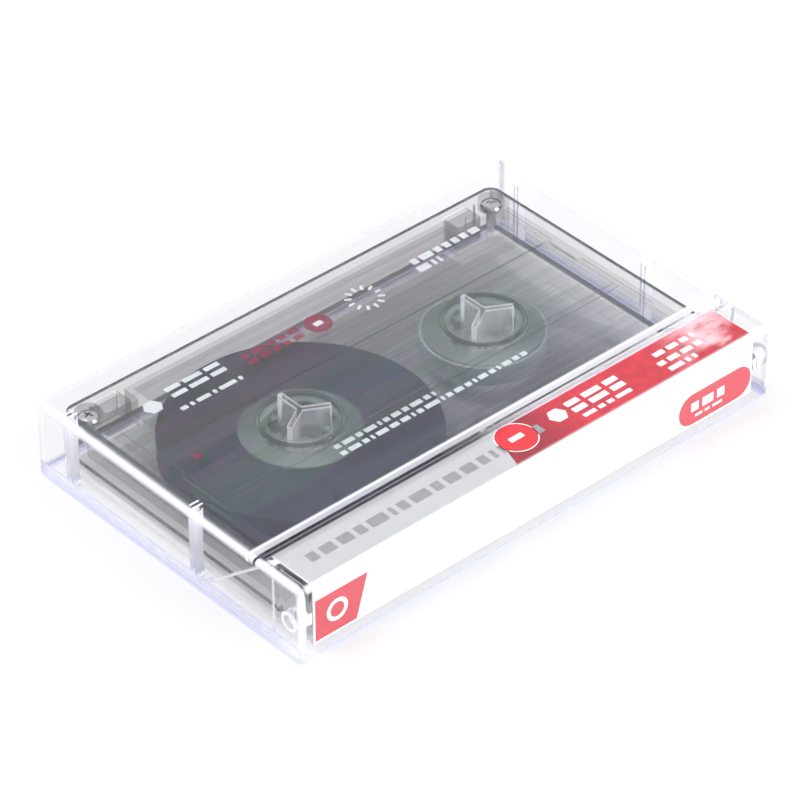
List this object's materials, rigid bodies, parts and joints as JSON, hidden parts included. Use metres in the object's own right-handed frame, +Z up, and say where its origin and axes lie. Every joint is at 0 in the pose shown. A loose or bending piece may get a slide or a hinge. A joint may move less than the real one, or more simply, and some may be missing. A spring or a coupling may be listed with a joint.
{
  "type": "audio cassette tape in a case",
  "caption": "Compact audio cassette with smoky see-through shell, reels, tape and pad, lying in a clear hinged case with a folded inlay card.",
  "frame": {"origin": "centre of the closed case's underside, on the surface that it lies on", "axes": "+X along the length from the full reel to the empty one, +Y from the case's spine to its back edge, +Z up out of the lid"},
  "size_m": [0.109, 0.0694, 0.0156],
  "materials": {
    "clear_case": "polished clear polystyrene",
    "printed_card": "coated card, satin",
    "smoky_shell": "polished smoky polystyrene",
    "slip_sheet": "thin lubricated film",
    "hub_plastic": "satin",
    "magnetic_tape": "dark oxide coating",
    "clear_leader": "clear film",
    "pin_steel": "ground",
    "spring_bronze": "rolled phosphor bronze",
    "pad_felt": "felt",
    "shield_metal": "rolled"
  },
  "bodies": {
    "case_base": {"case_holder": "clear_case", "inlay_card": "printed_card", "shell_upper": "smoky_shell", "shell_lower": "smoky_shell", "slip_sheet_upper": "slip_sheet", "slip_sheet_lower": "slip_sheet", "tape_run": "magnetic_tape", "guide_pin_left": "pin_steel", "guide_pin_right": "pin_steel", "pressure_spring": "spring_bronze", "magnetic_shield": "shield_metal"},
    "lid": {"case_lid": "clear_case"},
    "supply_reel": {"supply_hub": "hub_plastic", "supply_hub_clamp": "hub_plastic", "supply_tape_pack": "magnetic_tape"},
    "take_up_reel": {"take_up_hub": "hub_plastic", "take_up_hub_clamp": "hub_plastic", "leader_turns": "clear_leader"},
    "roller_left": {"guide_roller_left": "hub_plastic"},
    "roller_right": {"guide_roller_right": "hub_plastic"},
    "pad": {"pressure_pad": "pad_felt"}
  },
  "joints": [
    {"name": "lid_hinge", "type": "hinge", "parent": "case_base", "child": "lid", "pos_m": [0, -0.0319, 0.0078], "axis": [1, 0, 0], "range_deg": [0, 130]},
    {"name": "supply_reel_spin", "type": "hinge", "parent": "case_base", "child": "supply_reel", "pos_m": [-0.02125, 0.0036, 0.0078], "axis": [0, 0, 1], "range_deg": [-4.5, 4.5]},
    {"name": "take_up_reel_spin", "type": "hinge", "parent": "case_base", "child": "take_up_reel", "pos_m": [0.02125, 0.0036, 0.0078], "axis": [0, 0, 1], "range_deg": [-10, 10]},
    {"name": "left_roller_spin", "type": "hinge", "parent": "case_base", "child": "roller_left", "pos_m": [-0.0395, -0.02476, 0.0078], "axis": [0, 0, 1], "range_deg": [-34, 34]},
    {"name": "right_roller_spin", "type": "hinge", "parent": "case_base", "child": "roller_right", "pos_m": [0.0395, -0.02476, 0.0078], "axis": [0, 0, 1], "range_deg": [-34, 34]},
    {"name": "pad_press", "type": "slide", "parent": "case_base", "child": "pad", "axis": [0, 1, 0], "range_m": [0, 0.0008], "stiffness_N_per_m": 190, "springref_m": -0.0005, "deforming": ["pressure_spring"]}
  ],
  "couplings": [
    {"joint": "take_up_reel_spin", "follows": "supply_reel_spin", "ratio": 2.1842},
    {"joint": "left_roller_spin", "follows": "supply_reel_spin", "ratio": 7.3235},
    {"joint": "right_roller_spin", "follows": "supply_reel_spin", "ratio": 7.3235}
  ]
}
